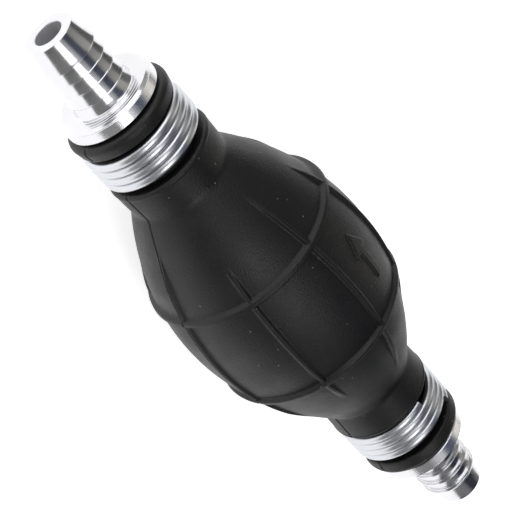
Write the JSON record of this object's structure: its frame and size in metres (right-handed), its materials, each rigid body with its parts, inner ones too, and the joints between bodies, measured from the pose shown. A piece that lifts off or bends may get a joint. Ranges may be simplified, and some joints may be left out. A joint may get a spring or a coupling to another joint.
{
  "type": "siphon bulb pump",
  "caption": "Hand primer and siphon bulb: a ribbed rubber bulb with a hose barb and a check valve at each end, held by coiled wire clamps.",
  "frame": {"origin": "the bulb's centre, on the pump's axis halfway between the two barb tips", "axes": "+X along the pump's axis towards the inlet barb, so fuel flows towards -X; +Z towards the thumb side of the bulb; the rubber's parting line lies in the XY plane"},
  "size_m": [0.17, 0.0522, 0.0522],
  "materials": {
    "bulb_rubber": "black nitrile rubber, satin, moulded with a fine grain",
    "turned_aluminium": "bright turned aluminium with fine tool marks",
    "clamp_wire": "bright drawn wire",
    "spring_steel": "drawn stainless spring wire",
    "seat_brass": "turned brass",
    "seal_rubber": "black nitrile seal rubber",
    "acetal": "moulded natural acetal"
  },
  "bodies": {
    "pump_body": {"outlet_neck": "bulb_rubber", "inlet_neck": "bulb_rubber", "outlet_hose_fitting": "turned_aluminium", "inlet_hose_fitting": "turned_aluminium", "outlet_wire_clamp": "clamp_wire", "inlet_wire_clamp": "clamp_wire", "outlet_snap_ring": "spring_steel", "inlet_snap_ring": "spring_steel", "outlet_valve_seat": "seat_brass", "inlet_valve_seat": "seat_brass", "outlet_seat_o_ring": "seal_rubber", "inlet_seat_o_ring": "seal_rubber", "outlet_valve_spring": "spring_steel", "inlet_valve_spring": "spring_steel", "outlet_spring_cage": "acetal", "inlet_spring_cage": "acetal"},
    "thumb_wall": {"bulb_thumb_wall": "bulb_rubber"},
    "finger_wall": {"bulb_finger_wall": "bulb_rubber"},
    "outlet_poppet": {"outlet_poppet": "acetal", "outlet_poppet_seal": "seal_rubber"},
    "inlet_poppet": {"inlet_poppet": "acetal", "inlet_poppet_seal": "seal_rubber"}
  },
  "joints": [
    {"name": "thumb_squeeze", "type": "slide", "parent": "pump_body", "child": "thumb_wall", "axis": [0, 0, -1], "range_m": [0, 0.0065], "stiffness_N_per_m": 2500, "springref_m": -0.001, "deforming": ["bulb_thumb_wall"]},
    {"name": "finger_squeeze", "type": "slide", "parent": "pump_body", "child": "finger_wall", "axis": [0, 0, 1], "range_m": [0, 0.0065], "stiffness_N_per_m": 2500, "springref_m": -0.001, "deforming": ["bulb_finger_wall"]},
    {"name": "outlet_valve", "type": "slide", "parent": "pump_body", "child": "outlet_poppet", "axis": [-1, 0, 0], "range_m": [0, 0.0025], "stiffness_N_per_m": 60, "springref_m": -0.002, "deforming": ["outlet_valve_spring"]},
    {"name": "inlet_valve", "type": "slide", "parent": "pump_body", "child": "inlet_poppet", "axis": [-1, 0, 0], "range_m": [0, 0.0025], "stiffness_N_per_m": 60, "springref_m": -0.002, "deforming": ["inlet_valve_spring"]}
  ],
  "couplings": [
    {"joint": "finger_squeeze", "follows": "thumb_squeeze", "ratio": 1}
  ]
}
